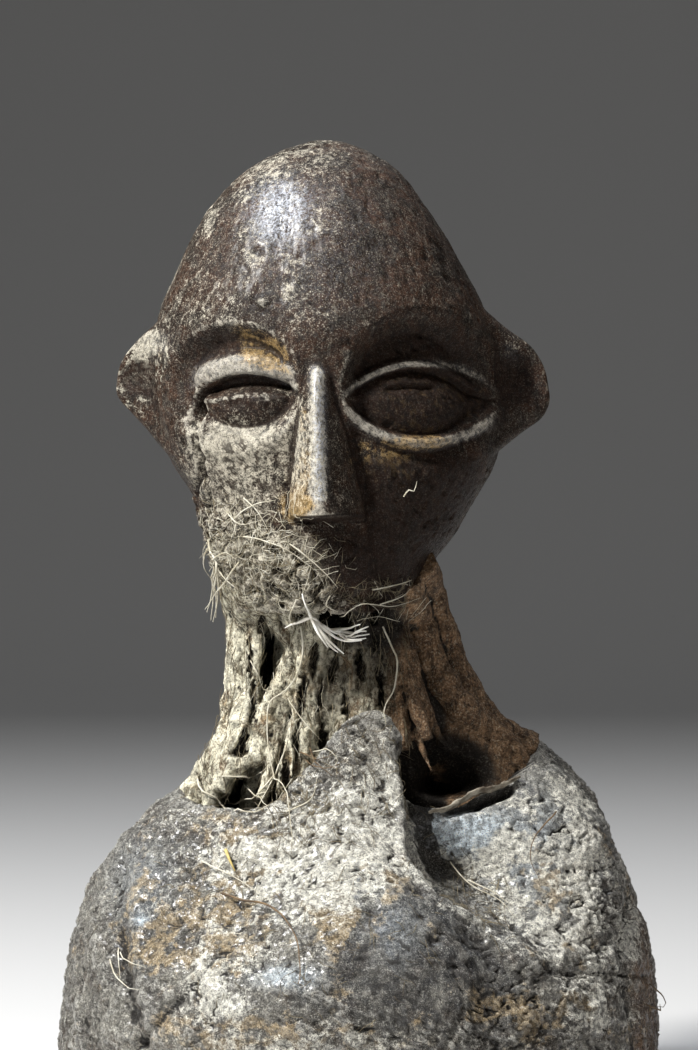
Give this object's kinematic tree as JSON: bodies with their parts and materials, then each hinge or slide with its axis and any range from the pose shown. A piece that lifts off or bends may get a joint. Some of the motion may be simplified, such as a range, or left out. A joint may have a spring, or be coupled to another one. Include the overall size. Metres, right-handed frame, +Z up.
{
  "type": "figure bust",
  "caption": "Bust of a carved wooden power figure: domed head with large lidded eyes, wedge nose and flared ears on a raffia-bound neck set in a crusted charge over the shoulders.",
  "frame": {"origin": "centre of the flat underside, below the middle of the neck", "axes": "+Z up through the crown, -Y the way the face looks, +X to the right of someone facing it"},
  "size_m": [0.089, 0.0771, 0.1422],
  "materials": {
    "dark_wood": "satin",
    "earthy_raffia": "matte",
    "resin_crust": "matte",
    "dry_hide": "matte",
    "pale_fibre": "matte"
  },
  "bodies": {
    "root": {"carved_head": "dark_wood", "raffia_neck": "earthy_raffia", "charge_bundle": "resin_crust", "shoulder_strip": "dry_hide", "throat_tuft": "pale_fibre", "throat_strand": "pale_fibre", "neck_strand": "pale_fibre", "pocket_strand": "pale_fibre", "chest_root": "pale_fibre", "chest_straw": "pale_fibre", "jaw_wisp": "pale_fibre"}
  },
  "joints": []
}
